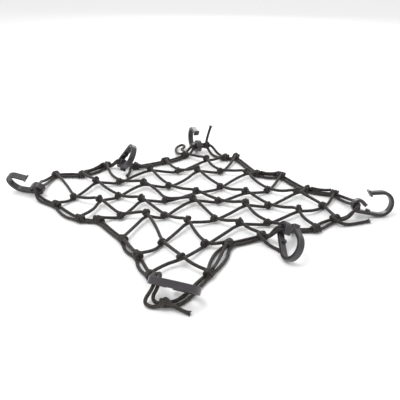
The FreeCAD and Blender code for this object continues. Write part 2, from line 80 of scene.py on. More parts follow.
# ---- the cords' routes, by CAD node: each cord's name, real length and given points -----------
ROUTES = {
    "mesh_cord_a1": ("mesh_cord_a1", 0.444, [
        (-0.254, 0.108, 0.0115), (-0.2241, 0.0655, 0.0083), (-0.203, 0.018, 0.0103),
        (-0.1802, 0.0052, 0.0112), (-0.155, -0.002, 0.0173), (-0.1339, -0.0235, 0.0112),
        (-0.115, -0.047, 0.0103), (-0.0936, -0.0435, 0.0112), (-0.073, -0.05, 0.0173),
        (-0.0548, -0.0866, 0.0112), (-0.044, -0.126, 0.0103), (-0.0273, -0.1495, 0.0112),
        (-0.014, -0.175, 0.0173), (0.0038, -0.1911, 0.0115), (0.024, -0.204, 0.0115)
    ]),
    "mesh_cord_a2": ("mesh_cord_a2", 0.371, [
        (-0.205, 0.109, 0.0115), (-0.1902, 0.0885, 0.0115), (-0.173, 0.07, 0.0173),
        (-0.1516, 0.045, 0.0112), (-0.128, 0.022, 0.0103), (-0.1079, 0.0097, 0.0112),
        (-0.086, 0.001, 0.0173), (-0.0644, -0.022, 0.0112), (-0.045, -0.047, 0.0103),
        (-0.0268, -0.0608, 0.0112), (-0.007, -0.072, 0.0173), (0.0042, -0.1018, 0.0112),
        (0.019, -0.13, 0.0103), (0.0361, -0.1335, 0.0083), (0.053, -0.129, 0.0115)
    ]),
    "mesh_cord_a3": ("mesh_cord_a3", 0.397, [
        (-0.166, 0.149, 0.0115), (-0.155, 0.1105, 0.0083), (-0.133, 0.077, 0.0103),
        (-0.1099, 0.0714, 0.0112), (-0.088, 0.062, 0.0173), (-0.0627, 0.0381, 0.0112),
        (-0.047, 0.007, 0.0103), (-0.0232, 0.006, 0.0112), (0, 0.001, 0.0173), (0.0187, -0.027, 0.0112),
        (0.034, -0.057, 0.0103), (0.0515, -0.0701, 0.0112), (0.072, -0.078, 0.0173),
        (0.0859, -0.0955, 0.0115), (0.105, -0.107, 0.0115)
    ]),
    "mesh_cord_a4": ("mesh_cord_a4", 0.365, [
        (-0.11, 0.146, 0.0115), (-0.0965, 0.1328, 0.0115), (-0.081, 0.122, 0.0173),
        (-0.0638, 0.0907, 0.0112), (-0.044, 0.061, 0.0103), (-0.0212, 0.0415, 0.0112),
        (0.005, 0.027, 0.0173), (0.0243, 0.0168, 0.0112), (0.042, 0.004, 0.0103),
        (0.0632, -0.0078, 0.0112), (0.086, -0.016, 0.0173), (0.0966, -0.045, 0.0112),
        (0.116, -0.069, 0.0103), (0.1362, -0.0748, 0.0083), (0.154, -0.086, 0.0115)
    ]),
    "mesh_cord_a5": ("mesh_cord_a5", 0.372, [
        (-0.056, 0.171, 0.0115), (-0.0442, 0.1465, 0.0083), (-0.029, 0.124, 0.0103),
        (-0.0118, 0.119, 0.0112), (0.006, 0.118, 0.0173), (0.0253, 0.0867, 0.0112), (0.047, 0.057, 0.0103),
        (0.0651, 0.0379, 0.0112), (0.089, 0.027, 0.0173), (0.1076, 0.0085, 0.0112),
        (0.124, -0.012, 0.0103), (0.1455, -0.0262, 0.0112), (0.169, -0.037, 0.0173),
        (0.1725, -0.0641, 0.0115), (0.189, -0.086, 0.0115)
    ]),
    "mesh_cord_a6": ("mesh_cord_a6", 0.374, [
        (-0.018, 0.2, 0.0115), (0.0039, 0.1842, 0.0115), (0.024, 0.166, 0.0173), (0.033, 0.142, 0.0112),
        (0.049, 0.122, 0.0103), (0.0736, 0.1159, 0.0112), (0.097, 0.106, 0.0173), (0.1095, 0.0736, 0.0112),
        (0.129, 0.045, 0.0103), (0.1507, 0.0313, 0.0112), (0.176, 0.027, 0.0173), (0.1967, 0.0085, 0.0112),
        (0.213, -0.014, 0.0103), (0.2204, -0.0346, 0.0083), (0.225, -0.056, 0.0115)
    ]),
    "mesh_cord_b1": ("mesh_cord_b1", 0.368, [
        (-0.226, -0.009, 0.0115), (-0.2134, 0.0035, 0.0047), (-0.203, 0.018, 0.0033),
        (-0.1854, 0.0425, 0.0077), (-0.173, 0.07, 0.0103), (-0.1527, 0.0715, 0.0077),
        (-0.133, 0.077, 0.0033), (-0.1083, 0.101, 0.0077), (-0.081, 0.122, 0.0103),
        (-0.0548, 0.119, 0.0077), (-0.029, 0.124, 0.0033), (-0.0013, 0.1434, 0.0077),
        (0.024, 0.166, 0.0103), (0.0435, 0.1753, 0.0079), (0.061, 0.188, 0.0115)
    ]),
    "mesh_cord_b2": ("mesh_cord_b2", 0.390, [
        (-0.177, -0.056, 0.0115), (-0.1604, -0.0313, 0.0079), (-0.155, -0.002, 0.0103),
        (-0.1405, 0.0089, 0.0077), (-0.128, 0.022, 0.0033), (-0.1091, 0.0431, 0.0077),
        (-0.088, 0.062, 0.0103), (-0.0661, 0.0585, 0.0077), (-0.044, 0.061, 0.0033),
        (-0.013, 0.0842, 0.0077), (0.006, 0.118, 0.0103), (0.0276, 0.1185, 0.0077), (0.049, 0.122, 0.0033),
        (0.0696, 0.1542, 0.0047), (0.083, 0.19, 0.0115)
    ]),
    "mesh_cord_b3": ("mesh_cord_b3", 0.331, [
        (-0.147, -0.059, 0.0115), (-0.1324, -0.0493, 0.0047), (-0.115, -0.047, 0.0033),
        (-0.0979, -0.0246, 0.0077), (-0.086, 0.001, 0.0103), (-0.0663, 0.0025, 0.0077),
        (-0.047, 0.007, 0.0033), (-0.0199, 0.0142, 0.0077), (0.005, 0.027, 0.0103),
        (0.0283, 0.0387, 0.0077), (0.047, 0.057, 0.0033), (0.071, 0.0826, 0.0077), (0.097, 0.106, 0.0103),
        (0.108, 0.1067, 0.0079), (0.117, 0.113, 0.0115)
    ]),
    "mesh_cord_b4": ("mesh_cord_b4", 0.375, [
        (-0.101, -0.118, 0.0115), (-0.0888, -0.0832, 0.0079), (-0.073, -0.05, 0.0103),
        (-0.0585, -0.0535, 0.0077), (-0.045, -0.047, 0.0033), (-0.0236, -0.022, 0.0077),
        (0, 0.001, 0.0103), (0.0211, 0.001, 0.0077), (0.042, 0.004, 0.0033), (0.0664, 0.0137, 0.0077),
        (0.089, 0.027, 0.0103), (0.1106, 0.0324, 0.0077), (0.129, 0.045, 0.0033), (0.1472, 0.0735, 0.0047),
        (0.162, 0.104, 0.0115)
    ]),
    "mesh_cord_b5": ("mesh_cord_b5", 0.358, [
        (-0.075, -0.161, 0.0115), (-0.0558, -0.1468, 0.0047), (-0.044, -0.126, 0.0033),
        (-0.0239, -0.1001, 0.0077), (-0.007, -0.072, 0.0103), (0.0149, -0.0683, 0.0077),
        (0.034, -0.057, 0.0033), (0.0619, -0.0389, 0.0077), (0.086, -0.016, 0.0103),
        (0.1052, -0.0155, 0.0077), (0.124, -0.012, 0.0033), (0.1509, 0.0063, 0.0077),
        (0.176, 0.027, 0.0103), (0.1883, 0.0355, 0.0079), (0.198, 0.047, 0.0115)
    ]),
    "mesh_cord_b6": ("mesh_cord_b6", 0.397, [
        (-0.054, -0.209, 0.0115), (-0.0392, -0.1859, 0.0079), (-0.014, -0.175, 0.0103),
        (0.0041, -0.1537, 0.0077), (0.019, -0.13, 0.0033), (0.0466, -0.1051, 0.0077),
        (0.072, -0.078, 0.0103), (0.0943, -0.075, 0.0077), (0.116, -0.069, 0.0033),
        (0.1435, -0.0547, 0.0077), (0.169, -0.037, 0.0103), (0.1942, -0.0317, 0.0077),
        (0.213, -0.014, 0.0033), (0.2317, 0.0058, 0.0047), (0.242, 0.031, 0.0115)
    ]),
    "border_outer_left_back": ("border_outer_left_back", 0.272, [
        (-0.2544, 0.1115, 0.0049), (-0.2297, 0.1205, 0.003), (-0.2061, 0.1116, 0.0049),
        (-0.1927, 0.136, 0.003), (-0.1671, 0.1517, 0.0049), (-0.155, 0.1517, 0.007),
        (-0.1439, 0.1492, 0.0202), (-0.1294, 0.1533, 0.0124), (-0.1212, 0.1558, 0.009),
        (-0.1099, 0.149, 0.0049), (-0.0855, 0.1639, 0.003), (-0.0574, 0.1733, 0.0049),
        (-0.0388, 0.1879, 0.003), (-0.021, 0.2008, 0.0049)
    ]),
    "border_inner_left_back": ("border_inner_left_back", 0.271, [
        (-0.2509, 0.1063, 0.0049), (-0.2295, 0.107, 0.003), (-0.2039, 0.1064, 0.0049),
        (-0.1812, 0.1248, 0.003), (-0.1649, 0.1464, 0.0049), (-0.155, 0.1464, 0.007),
        (-0.1446, 0.1447, 0.0166), (-0.1301, 0.1488, 0.0088), (-0.1228, 0.1502, 0.009),
        (-0.1101, 0.143, 0.0049), (-0.0813, 0.1549, 0.003), (-0.0546, 0.1687, 0.0049),
        (-0.0334, 0.1807, 0.003), (-0.0173, 0.197, 0.0049)
    ]),
    "border_third_left_back_1": ("border_third_left_back", 0.045, [
        (-0.1999, 0.1138, 0.0115), (-0.1872, 0.1318, 0.005), (-0.173, 0.1486, 0.0115)
    ]),
    "border_outer_back_right": ("border_outer_back_right", 0.260, [
        (0.0635, 0.1902, 0.0049), (0.0718, 0.1917, 0.003), (0.0847, 0.1928, 0.0049),
        (0.1046, 0.1535, 0.003), (0.1189, 0.1153, 0.0049), (0.1413, 0.1173, 0.003),
        (0.1636, 0.1064, 0.0049), (0.1834, 0.0776, 0.003), (0.1998, 0.0492, 0.0049),
        (0.2209, 0.0415, 0.003), (0.2422, 0.0342, 0.0049)
    ]),
    "border_inner_back_right": ("border_inner_back_right", 0.259, [
        (0.0615, 0.1847, 0.0049), (0.0722, 0.1863, 0.003), (0.0813, 0.1872, 0.0049),
        (0.0982, 0.1507, 0.003), (0.1151, 0.1107, 0.0049), (0.1379, 0.1007, 0.003),
        (0.1604, 0.1016, 0.0049), (0.1758, 0.0728, 0.003), (0.1962, 0.0448, 0.0049),
        (0.2191, 0.0365, 0.003), (0.2392, 0.0296, 0.0049)
    ]),
    "border_third_back_right_2": ("border_third_back_right", 0.036, [
        (0.1237, 0.1108, 0.0115), (0.1408, 0.1093, 0.0055), (0.1579, 0.1097, 0.0115)
    ]),
    "border_third_back_right_4": ("border_third_back_right", 0.035, [
        (0.2046, 0.0447, 0.0115), (0.2212, 0.0406, 0.0077), (0.2378, 0.0365, 0.0115)
    ]),
    "border_outer_right_front": ("border_outer_right_front", 0.308, [
        (0.2245, -0.0592, 0.0049), (0.2089, -0.0733, 0.003), (0.19, -0.0887, 0.0049),
        (0.1715, -0.0887, 0.003), (0.1559, -0.0887, 0.0049), (0.1533, -0.0963, 0.007),
        (0.1532, -0.1122, 0.017), (0.1416, -0.1237, 0.0232), (0.1273, -0.1279, 0.0315),
        (0.1209, -0.125, 0.0229), (0.112, -0.1139, 0.0075), (0.105, -0.1099, 0.0049),
        (0.0806, -0.1217, 0.003), (0.0551, -0.131, 0.0049), (0.0497, -0.1708, 0.003),
        (0.0271, -0.2039, 0.0049)
    ]),
    "border_inner_right_front": ("border_inner_right_front", 0.321, [
        (0.2225, -0.054, 0.0049), (0.1993, -0.0618, 0.003), (0.188, -0.0833, 0.0049),
        (0.1715, -0.0833, 0.003), (0.1521, -0.0833, 0.0049), (0.1487, -0.0937, 0.007),
        (0.1478, -0.1098, 0.017), (0.1407, -0.1181, 0.0245), (0.1264, -0.1223, 0.0328),
        (0.1199, -0.1194, 0.0241), (0.116, -0.1081, 0.0075), (0.105, -0.1041, 0.0049),
        (0.0771, -0.1134, 0.003), (0.0509, -0.127, 0.0049), (0.0254, -0.1615, 0.003),
        (0.0224, -0.2013, 0.0049)
    ]),
    "border_third_right_front_4": ("border_third_right_front", 0.069, [
        (0.0501, -0.1354, 0.0115), (0.0387, -0.167, 0.0032), (0.0291, -0.1993, 0.0115)
    ]),
    "border_outer_left_front": ("border_outer_left_front", 0.274, [
        (-0.0571, -0.2086, 0.0049), (-0.0727, -0.1886, 0.003), (-0.0774, -0.1622, 0.0049),
        (-0.0957, -0.1442, 0.003), (-0.1032, -0.1195, 0.0049), (-0.1261, -0.0902, 0.003),
        (-0.1484, -0.0615, 0.0049), (-0.1623, -0.0602, 0.003), (-0.1782, -0.0585, 0.0049),
        (-0.2098, -0.0412, 0.003), (-0.2265, -0.0121, 0.0049)
    ]),
    "border_inner_left_front": ("border_inner_left_front", 0.273, [
        (-0.0522, -0.2065, 0.0049), (-0.0627, -0.1842, 0.003), (-0.0726, -0.1598, 0.0049),
        (-0.0857, -0.1381, 0.003), (-0.0988, -0.1165, 0.0049), (-0.1219, -0.0868, 0.003),
        (-0.1456, -0.0565, 0.0049), (-0.1617, -0.0548, 0.003), (-0.1758, -0.0535, 0.0049),
        (-0.2001, -0.0311, 0.003), (-0.2231, -0.008, 0.0049)
    ]),
    "border_third_left_front_1": ("border_third_left_front", 0.037, [
        (-0.08, -0.1562, 0.0115), (-0.0887, -0.1399, 0.0077), (-0.0991, -0.1247, 0.0115)
    ]),
    "corner_left_0": ("corner_left", 0.148, [
        (-0.2289, -0.01, 0.0049), (-0.245, 0.001, 0.0032), (-0.263, 0.013, 0.005),
        (-0.2675, 0.0254, 0.015), (-0.2624, 0.0399, 0.0222), (-0.268, 0.063, 0.015),
        (-0.269, 0.087, 0.004), (-0.2571, 0.1097, 0.0049)
    ]),
    "corner_left_1": ("corner_left", 0.134, [
        (-0.2255, -0.0059, 0.0049), (-0.241, 0.007, 0.0032), (-0.256, 0.017, 0.005),
        (-0.2676, 0.0281, 0.0098), (-0.2625, 0.0426, 0.017), (-0.261, 0.06, 0.009), (-0.26, 0.084, 0.004),
        (-0.2536, 0.1045, 0.0049)
    ]),
    "corner_back_0": ("corner_back", 0.118, [
        (-0.0187, 0.203, 0.0049), (-0.013, 0.214, 0.0125), (0.0002, 0.2213, 0.0205),
        (0.0164, 0.2262, 0.0193), (0.025, 0.232, 0.0186), (0.036, 0.231, 0.014), (0.046, 0.217, 0.005),
        (0.055, 0.205, 0.0032), (0.0605, 0.1913, 0.0049)
    ]),
    "corner_back_1": ("corner_back", 0.111, [
        (-0.015, 0.1992, 0.0049), (-0.006, 0.21, 0.0065), (-0.0004, 0.2218, 0.0147),
        (0.0158, 0.2267, 0.0135), (0.026, 0.23, 0.0133), (0.034, 0.212, 0.004), (0.046, 0.198, 0.0032),
        (0.0585, 0.1858, 0.0049)
    ]),
    "corner_right_0": ("corner_right", 0.138, [
        (0.2448, 0.0324, 0.0049), (0.257, 0.024, 0.004), (0.266, 0.002, 0.009), (0.266, -0.014, 0.018),
        (0.2629, -0.0292, 0.0222), (0.2649, -0.0457, 0.0255), (0.255, -0.055, 0.024),
        (0.243, -0.06, 0.007), (0.2275, -0.058, 0.0049)
    ]),
    "corner_right_1": ("corner_right", 0.125, [
        (0.2418, 0.0278, 0.0049), (0.249, 0.014, 0.004), (0.257, -0.004, 0.007), (0.262, -0.017, 0.013),
        (0.2631, -0.0303, 0.0165), (0.2651, -0.0468, 0.0198), (0.254, -0.05, 0.018),
        (0.242, -0.052, 0.0042), (0.2255, -0.0528, 0.0049)
    ]),
    "corner_front_0": ("corner_front", 0.195, [
        (0.0256, -0.2067, 0.0049), (0.016, -0.221, 0.0032), (0.007, -0.239, 0.0032),
        (-0.004, -0.256, 0.0032), (-0.017, -0.268, 0.0032), (-0.032, -0.2697, 0.0062),
        (-0.049, -0.27, 0.0032), (-0.059, -0.2615, 0.005), (-0.0467, -0.2503, 0.0187),
        (-0.0427, -0.2397, 0.0313), (-0.046, -0.2315, 0.0275), (-0.0558, -0.2115, 0.0049)
    ]),
    "corner_front_1": ("corner_front", 0.175, [
        (0.0209, -0.2041, 0.0049), (0.008, -0.219, 0.0032), (-0.001, -0.236, 0.0032),
        (-0.01, -0.249, 0.0032), (-0.02, -0.259, 0.0032), (-0.032, -0.2644, 0.0062),
        (-0.044, -0.262, 0.0032), (-0.048, -0.254, 0.0075), (-0.0413, -0.2523, 0.0187),
        (-0.0373, -0.2417, 0.0313), (-0.0406, -0.229, 0.027), (-0.0509, -0.2094, 0.0049)
    ]),
    "cut_end_front": ("cut_end_front", 0.031, [
        (-0.03, -0.268, 0.012), (-0.017, -0.276, 0.006), (-0.003, -0.28, 0.0032)
    ]),
    "cut_end_back": ("cut_end_back", 0.031, [
        (0.025, 0.232, 0.022), (0.026, 0.235, 0.03), (0.033, 0.239, 0.051)
    ]),
    "cut_end_right": ("cut_end_right", 0.063, [
        (0.2197, -0.0606, 0.0115), (0.225, -0.068, 0.0095), (0.239, -0.069, 0.0032),
        (0.26, -0.064, 0.0032), (0.276, -0.058, 0.0036)
    ]),
    "cut_end_side_right": ("cut_end_side_right", 0.042, [
        (0.0984, -0.1093, 0.0115), (0.103, -0.119, 0.0095), (0.114, -0.13, 0.0032), (0.125, -0.14, 0.0032)
    ]),
    "cut_end_side_left": ("cut_end_side_left", 0.035, [
        (-0.1167, 0.1438, 0.0125), (-0.119, 0.136, 0.009), (-0.119, 0.124, 0.0032),
        (-0.122, 0.111, 0.0036)
    ]),
    "slack_bight": ("slack_bight", 0.121, [
        (-0.0231, 0.1958, 0.0115), (-0.03, 0.203, 0.008), (-0.037, 0.222, 0.004), (-0.038, 0.242, 0.005),
        (-0.026, 0.256, 0.007), (-0.018, 0.243, 0.008), (-0.026, 0.224, 0.009), (-0.022, 0.212, 0.0125),
        (-0.0194, 0.2029, 0.0121)
    ]),
}
# Mesh knots: their middles, row by row.
MESH_KNOTS = {
    "mesh_knots_a1": [
        (-0.203, 0.018, 0.0068), (-0.155, -0.002, 0.0138), (-0.115, -0.047, 0.0068),
        (-0.073, -0.05, 0.0138), (-0.044, -0.126, 0.0068), (-0.014, -0.175, 0.0138),
    ],
    "mesh_knots_a2": [
        (-0.173, 0.07, 0.0138), (-0.128, 0.022, 0.0068), (-0.086, 0.001, 0.0138),
        (-0.045, -0.047, 0.0068), (-0.007, -0.072, 0.0138), (0.019, -0.13, 0.0068),
    ],
    "mesh_knots_a3": [
        (-0.133, 0.077, 0.0068), (-0.088, 0.062, 0.0138), (-0.047, 0.007, 0.0068), (0, 0.001, 0.0138),
        (0.034, -0.057, 0.0068), (0.072, -0.078, 0.0138),
    ],
    "mesh_knots_a4": [
        (-0.081, 0.122, 0.0138), (-0.044, 0.061, 0.0068), (0.005, 0.027, 0.0138), (0.042, 0.004, 0.0068),
        (0.086, -0.016, 0.0138), (0.116, -0.069, 0.0068),
    ],
    "mesh_knots_a5": [
        (-0.029, 0.124, 0.0068), (0.006, 0.118, 0.0138), (0.047, 0.057, 0.0068), (0.089, 0.027, 0.0138),
        (0.124, -0.012, 0.0068), (0.169, -0.037, 0.0138),
    ],
    "mesh_knots_a6": [
        (0.024, 0.166, 0.0138), (0.049, 0.122, 0.0068), (0.097, 0.106, 0.0138), (0.129, 0.045, 0.0068),
        (0.176, 0.027, 0.0138), (0.213, -0.014, 0.0068),
    ],
}
# Border knots: their middles on the ground plan, and the way the border runs through each.
BORDER_KNOTS = {
    "border_knots_left_back": [
        ((-0.254, 0.108), (0.831, 0.557)),
        ((-0.205, 0.109), (0.917, 0.398)),
        ((-0.166, 0.149), (0.921, 0.389)),
        ((-0.11, 0.146), (0.999, -0.047)),
        ((-0.056, 0.171), (0.856, 0.516)),
        ((-0.018, 0.2), (0.719, 0.695)),
    ],
    "border_knots_back_right": [
        ((0.061, 0.188), (0.94, -0.34)),
        ((0.083, 0.19), (0.862, -0.507)),
        ((0.117, 0.113), (0.78, -0.626)),
        ((0.162, 0.104), (0.824, -0.567)),
        ((0.198, 0.047), (0.779, -0.627)),
        ((0.242, 0.031), (0.832, -0.555)),
    ],
    "border_knots_right_front": [
        ((0.225, -0.056), (-0.929, -0.37)),
        ((0.189, -0.086), (-0.94, -0.34)),
        ((0.154, -0.086), (-0.811, -0.585)),
        ((0.105, -0.107), (-1, 0.009)),
        ((0.053, -0.129), (-0.696, -0.718)),
        ((0.024, -0.204), (-0.485, -0.875)),
    ],
    "border_knots_left_front": [
        ((-0.054, -0.209), (-0.407, 0.913)),
        ((-0.075, -0.161), (-0.46, 0.888)),
        ((-0.101, -0.118), (-0.567, 0.824)),
        ((-0.147, -0.059), (-0.876, 0.483)),
        ((-0.177, -0.056), (-0.908, 0.419)),
        ((-0.226, -0.009), (-0.759, 0.651)),
    ],
}
END_KNOTS = {"end_knot_front": (-0.032, -0.267, 0.0082), "end_knot_back": (0.025, 0.231, 0.016)}


# ---- materials -----------------------------------------------------------------------------
class Nodes:
    """A material's node tree, with short calls to add and join nodes."""

    def __init__(self, name):
        self.material = bpy.data.materials.new(name)
        self.material.use_nodes = True
        self.tree = self.material.node_tree
        self.shader = self.tree.nodes["Principled BSDF"]

    def add(self, kind, **settings):
        node = self.tree.nodes.new(kind)
        for key, value in settings.items():
            setattr(node, key, value)
        return node

    def join(self, source, target):
        self.tree.links.new(source, target)

    def math(self, operation, *values):
        node = self.add("ShaderNodeMath", operation=operation)
        for socket, value in zip(node.inputs, values):
            if isinstance(value, (int, float)):
                socket.default_value = value
            else:
                self.join(value, socket)
        return node.outputs[0]

    def noise(self, scale, detail=2.0, vector=None):
        node = self.add("ShaderNodeTexNoise")
        node.inputs["Scale"].default_value = scale
        node.inputs["Detail"].default_value = detail
        if vector is None:
            vector = self.add("ShaderNodeTexCoord").outputs["Object"]
        self.join(vector, node.inputs["Vector"])
        return node.outputs["Fac"]

    def ramp(self, factor, *stops):
        node = self.add("ShaderNodeValToRGB")
        elements = node.color_ramp.elements
        while len(elements) < len(stops):
            elements.new(0.5)
        for element, (place, colour) in zip(elements, stops):
            element.position = place
            element.color = (*colour, 1)
        self.join(factor, node.inputs["Fac"])
        return node.outputs["Color"]

    def mixed(self, factor, first, second, blend="MIX"):
        node = self.add("ShaderNodeMix", data_type="RGBA", blend_type=blend)
        for socket, value in zip((node.inputs[0], node.inputs[6], node.inputs[7]), (factor, first, second)):
            if isinstance(value, (int, float)):
                socket.default_value = value
            elif isinstance(value, tuple):
                socket.default_value = (*value, 1)
            else:
                self.join(value, socket)
        return node.outputs[2]

    def bump(self, height, strength, distance):
        node = self.add("ShaderNodeBump")
        node.inputs["Strength"].default_value = strength
        node.inputs["Distance"].default_value = distance
        self.join(height, node.inputs["Height"])
        self.join(node.outputs["Normal"], self.shader.inputs["Normal"])


def braid(name, shaded_gap, yarn, tracer):
    """Braided sheath: yarns run both ways round the cord and pass over and under each other; the low places
    between them are darkened with painted shade.
    """
    m = Nodes(name)
    m.shader.inputs["Sheen Weight"].default_value = 0.12
    m.shader.inputs["Sheen Roughness"].default_value = 0.45
    m.shader.inputs["Specular IOR Level"].default_value = 0.35
    place = m.add("ShaderNodeSeparateXYZ")
    m.join(m.add("ShaderNodeUVMap", uv_map="UVMap").outputs["UV"], place.inputs["Vector"])
    along, round_it = place.outputs["X"], place.outputs["Y"]
    turns = m.math("MULTIPLY", along, 1 / BRAID_LEAD)
    right = m.math("MULTIPLY", m.math("ADD", round_it, turns), BRAID_YARNS)
    left = m.math("MULTIPLY", m.math("SUBTRACT", round_it, turns), BRAID_YARNS)

    def crown(lane):
        offset = m.math("SUBTRACT", m.math("FRACT", lane), 0.5)
        return m.math("SUBTRACT", 1.0, m.math("MULTIPLY", m.math("MULTIPLY", offset, offset), 4.0))

    steps = m.math("ADD", m.math("FLOOR", right), m.math("FLOOR", left))
    over = m.math("FLOORED_MODULO", steps, 2.0)
    under = m.math("SUBTRACT", 1.0, over)
    height = m.math("ADD", m.math("MULTIPLY", crown(right), over), m.math("MULTIPLY", crown(left), under))
    fibres = m.noise(2600.0, 3.0)
    patches = m.noise(38.0, 3.0)
    lane_number = m.math("FLOORED_MODULO", m.math("FLOOR", right), TRACER_EVERY)
    traced = m.math("MULTIPLY", m.math("LESS_THAN", lane_number, 0.5), over)
    # Painted shade: the low places between the yarns are darkened towards the first, darker colour.
    colour = m.ramp(height, (0.15, shaded_gap), (0.85, yarn))
    colour = m.mixed(m.math("MULTIPLY", traced, 0.8), colour, tracer)
    colour = m.mixed(0.55, colour, m.ramp(fibres, (0.3, (0.45, 0.45, 0.45)), (0.7, (1, 1, 1))), "MULTIPLY")
    colour = m.mixed(0.5, colour, m.ramp(patches, (0.35, (0.62, 0.6, 0.58)), (0.65, (1, 1, 1))), "MULTIPLY")
    m.join(colour, m.shader.inputs["Base Color"])
    m.join(m.math("ADD", m.math("MULTIPLY", patches, 0.3), 0.42), m.shader.inputs["Roughness"])
    m.bump(m.math("ADD", height, m.math("MULTIPLY", fibres, 0.35)), 0.75, 0.00035)
    return m.material


def rubber(name):
    """The core's cut face: dull rubber with fine pits."""
    m = Nodes(name)
    pits = m.noise(1900.0, 4.0)
    m.join(m.ramp(pits, (0.35, (0.035, 0.032, 0.03)), (0.7, (0.085, 0.08, 0.075))),
           m.shader.inputs["Base Color"])
    m.join(m.math("ADD", m.math("MULTIPLY", pits, 0.25), 0.6), m.shader.inputs["Roughness"])
    m.bump(pits, 0.4, 0.0001)
    return m.material


def plastic(name):
    """Moulded nylon: semi-gloss, with a fine grain, flow marks and scuffs."""
    m = Nodes(name)
    m.shader.inputs["Specular IOR Level"].default_value = 0.6
    m.shader.inputs["Coat Weight"].default_value = 0.15
    m.shader.inputs["Coat Roughness"].default_value = 0.25
    grain = m.noise(3200.0, 2.0)
    flow = m.noise(60.0, 4.0)
    scuffs = m.noise(260.0, 5.0)
    colour = m.ramp(flow, (0.3, (0.016, 0.013, 0.016)), (0.72, (0.032, 0.027, 0.032)))
    worn = m.ramp(scuffs, (0.6, (0, 0, 0)), (0.72, (1, 1, 1)))
    colour = m.mixed(m.math("MULTIPLY", worn, 0.18), colour, (0.06, 0.055, 0.06))
    m.join(colour, m.shader.inputs["Base Color"])
    rough = m.math("ADD", m.math("MULTIPLY", flow, 0.16), m.math("MULTIPLY", scuffs, 0.16))
    m.join(m.math("ADD", rough, 0.17), m.shader.inputs["Roughness"])
    m.bump(m.math("ADD", grain, m.math("MULTIPLY", scuffs, 0.4)), 0.12, 0.00004)
    return m.material


# The first colour of each braid is painted shade for the gaps between its yarns.
CHARCOAL = braid("braided_cord", (0.0035, 0.0026, 0.0026), (0.027, 0.020, 0.0195), (0.072, 0.058, 0.054))
OLIVE = braid("braided_cord_worn", (0.006, 0.005, 0.004), (0.036, 0.030, 0.024), (0.088, 0.076, 0.060))
RUBBER = rubber("rubber_core")
PLASTIC = plastic("hook_plastic")
OLIVE_CORDS = ("corner_front_0", "corner_front_1", "cut_end_front")


# ---- tubes ---------------------------------------------------------------------------------
def piece(name, vertices, faces, uvs, material, slot):
    """A smooth mesh object that rides on the net; uvs has one (u, v) for every corner of every face."""
    mesh = bpy.data.meshes.new(name)
    mesh.from_pydata(vertices, [], faces)
    layer = mesh.uv_layers.new(name="UVMap")
    for corner, uv in zip(layer.data, uvs):
        corner.uv = uv
    for face in mesh.polygons:
        face.use_smooth = True
    mesh.materials.append(material)
    obj = bpy.data.objects.new(name, mesh)
    bpy.context.scene.collection.objects.link(obj)
    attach(obj, "net")
    return obj


def tube(line, radius, closed=False, start_u=0.0):
    """Vertices, faces and uvs of a tube along a line. radius is a number, or one for each point."""
    count = len(line)
    radii = radius if isinstance(radius, list) else [radius] * count
    if closed:
        ways = [(line[(i + 1) % count] - line[i - 1]).normalized() for i in range(count)]
    else:
        ways = [(line[min(i + 1, count - 1)] - line[max(i - 1, 0)]).normalized() for i in range(count)]
    side = ways[0].orthogonal().normalized()
    sides = [side]
    for before, after in zip(ways, ways[1:]):
        side = before.rotation_difference(after) @ side
        side = (side - after * side.dot(after)).normalized()
        sides.append(side)
    twist = 0.0
    if closed:
        back = ways[-1].rotation_difference(ways[0]) @ sides[-1]
        twist = math.atan2(back.cross(sides[0]).dot(ways[0]), back.dot(sides[0]))
    vertices, travelled = [], [start_u]
    for i, (at, way, side, r) in enumerate(zip(line, ways, sides, radii)):
        if i:
            travelled.append(travelled[-1] + (at - line[i - 1]).length)
        side = Quaternion(way, twist * i / count) @ side
        across = way.cross(side)
        for k in range(AROUND):
            angle = 2 * math.pi * k / AROUND
            vertices.append(at + side * (r * math.cos(angle)) + across * (r * math.sin(angle)))
    faces, uvs = [], []
    for i in range(count if closed else count - 1):
        j = (i + 1) % count
        u, next_u = travelled[i], travelled[j] if j else travelled[i] + (line[0] - line[i]).length
        for k in range(AROUND):
            n = (k + 1) % AROUND
            faces.append((i * AROUND + k, i * AROUND + n, j * AROUND + n, j * AROUND + k))
            low, high = k / AROUND, (k + 1) / AROUND
            uvs += [(u, low), (u, high), (next_u, high), (next_u, low)]
    if not closed:
        for ring, order in ((0, -1), (count - 1, 1)):
            faces.append(tuple(ring * AROUND + k for k in range(AROUND))[::order])
            uvs += [(travelled[ring], k / AROUND) for k in range(AROUND)][::order]
    return vertices, faces, uvs


def joined(tubes):
    """Several tubes' vertices, faces and uvs as one mesh's."""
    vertices, faces, uvs = [], [], []
    for more_vertices, more_faces, more_uvs in tubes:
        first = len(vertices)
        vertices += more_vertices
        faces += [tuple(first + v for v in face) for face in more_faces]
        uvs += more_uvs
    return vertices, faces, uvs


def centreline(name, points):
    """The smooth line of a cord: a NURBS spline whose control points are the route's points."""
    curve = bpy.data.curves.new(name + "_line", "CURVE")
    curve.dimensions = "3D"
    curve.resolution_u = 14
    spline = curve.splines.new("NURBS")
    spline.points.add(len(points) - 1)
    for control, point in zip(spline.points, points):
        control.co = (*point, 1)
    spline.order_u = 3
    spline.use_endpoint_u = True
    holder = bpy.data.objects.new(name + "_line", curve)
    mesh = bpy.data.meshes.new_from_object(holder)
    line = [vertex.co.copy() for vertex in mesh.vertices]
    bpy.data.objects.remove(holder)
    bpy.data.curves.remove(curve)
    bpy.data.meshes.remove(mesh)
    return line


# ---- the cords -----------------------------------------------------------------------------
# How long the splayed yarns are at each cut end, over the usual length.
CUT = {
    "cut_end_front": 1.0,
    "cut_end_back": 1.1,
    "cut_end_right": 0.9,
    "cut_end_side_right": 0.9,
    "cut_end_side_left": 0.9,
}


